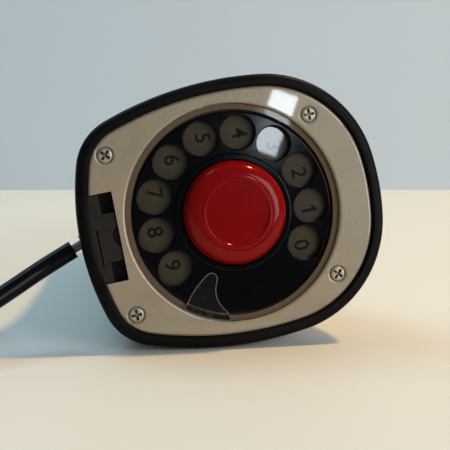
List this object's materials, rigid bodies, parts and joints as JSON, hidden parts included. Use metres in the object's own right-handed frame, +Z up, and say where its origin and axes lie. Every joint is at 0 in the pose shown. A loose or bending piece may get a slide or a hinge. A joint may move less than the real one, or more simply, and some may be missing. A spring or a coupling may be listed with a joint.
{
  "type": "rotary telephone",
  "caption": "One-piece upright telephone lying on its side, with a rotary dial, finger stop and red hook button in its base, an ear cap at the top and a line cord.",
  "frame": {"origin": "middle of the bottom of the lying telephone's box, on the surface it lies on", "axes": "+Y from the base with the dial towards the ear end, +Z up from the surface it lies on, +X towards the telephone's front"},
  "size_m": [0.2591, 0.2352, 0.0953],
  "materials": {
    "case": "gloss",
    "beige": "gloss",
    "foot_rubber": "matte",
    "black": "gloss",
    "red": "gloss",
    "clear": "gloss",
    "number": "satin",
    "bakelite": "matte",
    "screw_steel": "satin",
    "steel": "satin",
    "brass": "satin",
    "alloy": "satin",
    "board": "matte",
    "copper": "satin",
    "grey_sheath": "matte",
    "cord_jacket": "gloss",
    "plug": "gloss"
  },
  "bodies": {
    "telephone": {"case_shell": "case", "ear_cap": "case", "base_plate": "beige", "base_ring": "foot_rubber", "base_screws": "screw_steel", "terminal_block": "bakelite", "finger_stop": "clear", "number_plate": "number", "return_spring": "steel", "dial_frame": "alloy", "dial_bush": "brass", "governor_drum": "alloy", "bridge_plate": "alloy", "bridge_posts": "steel", "lever_bracket": "alloy", "lever_pin": "steel", "hook_contacts": "bakelite", "pulse_contacts": "bakelite", "network_board": "board", "board_posts": "steel", "coil_core": "steel", "coil_winding": "copper", "ringer": "black", "capacitor": "alloy", "transmitter_capsule": "alloy", "transmitter_cup": "black", "receiver_ring": "foot_rubber", "receiver_capsule": "alloy", "receiver_lead": "grey_sheath", "cord_grommet": "foot_rubber", "cord_sheath": "grey_sheath", "cord_lead": "cord_jacket", "cord_coil": "cord_jacket", "cord_tie": "black", "plug_body": "plug", "plug_pins": "brass"},
    "dial": {"finger_wheel": "black", "dial_shaft": "brass", "main_gear": "brass"},
    "idler": {"idler_shaft": "steel", "idler_pinion": "steel", "idler_wheel": "brass", "pulse_cam": "bakelite"},
    "governor": {"governor_shaft": "steel", "governor_pinion": "steel", "governor_arm": "brass", "governor_weights": "brass"},
    "hook": {"hook_button": "red", "button_stem": "black", "stem_collar": "steel", "stem_spring": "steel"},
    "lever": {"hook_lever": "bakelite"}
  },
  "joints": [
    {"name": "dial_turn", "type": "hinge", "parent": "telephone", "child": "dial", "pos_m": [0.00107, -0.10504, 0.04754], "axis": [0, 0.9946, -0.1037], "range_deg": [0, 314], "stiffness_Nm_per_rad": 0.008, "springref_deg": -85.94},
    {"name": "idler_turn", "type": "hinge", "parent": "telephone", "child": "idler", "pos_m": [-0.02809, -0.1045, 0.05271], "axis": [0, 0.9946, -0.1037], "range_deg": [-1011, 1]},
    {"name": "governor_turn", "type": "hinge", "parent": "telephone", "child": "governor", "pos_m": [-0.02852, -0.106, 0.03827], "axis": [0, 0.9946, -0.1037], "range_deg": [-1, 3029]},
    {"name": "hook_press", "type": "slide", "parent": "telephone", "child": "hook", "axis": [0, 0.9946, -0.1037], "range_m": [0, 0.005], "stiffness_N_per_m": 300, "springref_m": -0.004},
    {"name": "lever_turn", "type": "hinge", "parent": "telephone", "child": "lever", "pos_m": [0.0124, -0.05948, 0.04478], "axis": [0.1719, -0.1021, -0.9798], "range_deg": [-0.5, 26.51]}
  ],
  "couplings": [
    {"joint": "idler_turn", "follows": "dial_turn", "ratio": -3.2143},
    {"joint": "governor_turn", "follows": "dial_turn", "ratio": 9.6429},
    {"joint": "lever_turn", "follows": "hook_press", "rad_per_m": 90.8}
  ]
}
